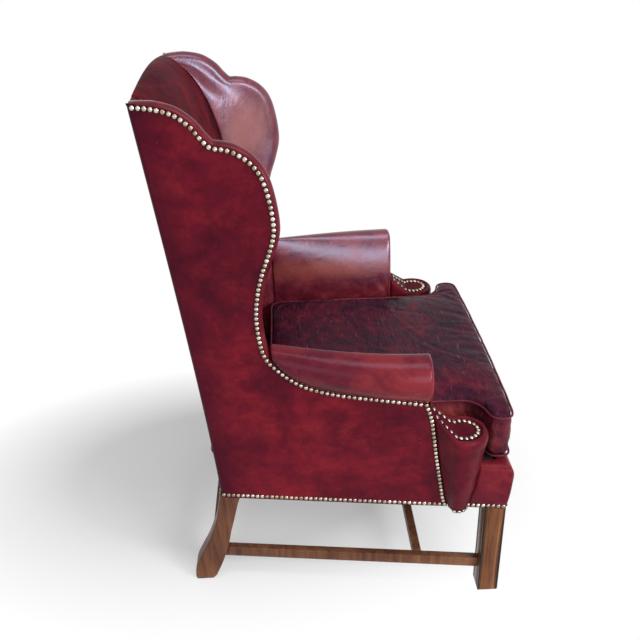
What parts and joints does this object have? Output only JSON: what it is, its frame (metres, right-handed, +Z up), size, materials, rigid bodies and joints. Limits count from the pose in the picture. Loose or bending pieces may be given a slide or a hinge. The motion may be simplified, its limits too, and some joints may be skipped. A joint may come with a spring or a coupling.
{
  "type": "wingback armchair",
  "caption": "Wingback armchair in nailed leather with rolled arms, scrolls, a loose T-shaped seat cushion, and a hardwood base with square front legs and stretchers.",
  "frame": {"origin": "on the floor, under the middle of the chair's box in plan", "axes": "+Z up; -Y the way that the sitter faces; +X to the sitter's left"},
  "size_m": [0.8028, 0.742, 1.1535],
  "materials": {
    "leather": "glossy, burnished oxblood",
    "cushion_leather": "glossy, creased, darker oxblood",
    "mahogany": "stained and waxed",
    "beech": "planed, unfinished",
    "nail_brass": "pale, polished heads",
    "spring_steel": "plain",
    "zip_metal": "dull",
    "black_cloth": "woven cambric",
    "jute": "coarse weave",
    "wadding": "cotton felt",
    "foam": "foam wrapped in wadding"
  },
  "bodies": {
    "chair": {"front_leg_left": "mahogany", "front_leg_right": "mahogany", "rear_leg_left": "mahogany", "rear_leg_right": "mahogany", "side_stretcher_left": "mahogany", "side_stretcher_right": "mahogany", "medial_stretcher": "mahogany", "rear_stretcher": "mahogany", "front_seat_rail": "beech", "side_seat_rail_left": "beech", "side_seat_rail_right": "beech", "rear_seat_rail": "beech", "corner_blocks": "beech", "corner_screws": "spring_steel", "crest_rail": "beech", "lower_back_rail": "beech", "wing_board_left": "beech", "wing_board_right": "beech", "arm_rail_left": "beech", "arm_rail_right": "beech", "arm_stump_left": "beech", "arm_stump_right": "beech", "scroll_block_left": "beech", "scroll_block_right": "beech", "seat_springs": "spring_steel", "spring_clips": "spring_steel", "seat_burlap": "jute", "deck_pad": "wadding", "deck_cloth": "black_cloth", "front_edge_roll": "wadding", "dust_cover": "black_cloth", "back_webbing": "jute", "back_burlap": "jute", "back_padding": "wadding", "inside_back": "leather", "wing_padding_left": "wadding", "wing_padding_right": "wadding", "inside_wing_left": "leather", "inside_wing_right": "leather", "arm_padding_left": "wadding", "arm_padding_right": "wadding", "arm_cover_left": "leather", "arm_cover_right": "leather", "arm_end_left": "leather", "arm_end_right": "leather", "side_panel_left": "leather", "side_panel_right": "leather", "outside_back": "leather", "scroll_cover_left": "leather", "scroll_cover_right": "leather", "scroll_facing_left": "leather", "scroll_facing_right": "leather", "front_border": "leather", "wing_nails": "nail_brass", "scroll_nails": "nail_brass", "border_nails": "nail_brass"},
    "seat_cushion": {"cushion_cover": "cushion_leather", "cushion_core": "foam", "cushion_piping": "cushion_leather", "cushion_zip": "zip_metal"}
  },
  "joints": [
    {"name": "cushion_lift", "type": "slide", "parent": "chair", "child": "seat_cushion", "axis": [0, 0, 1], "range_m": [0, 0.3]}
  ]
}
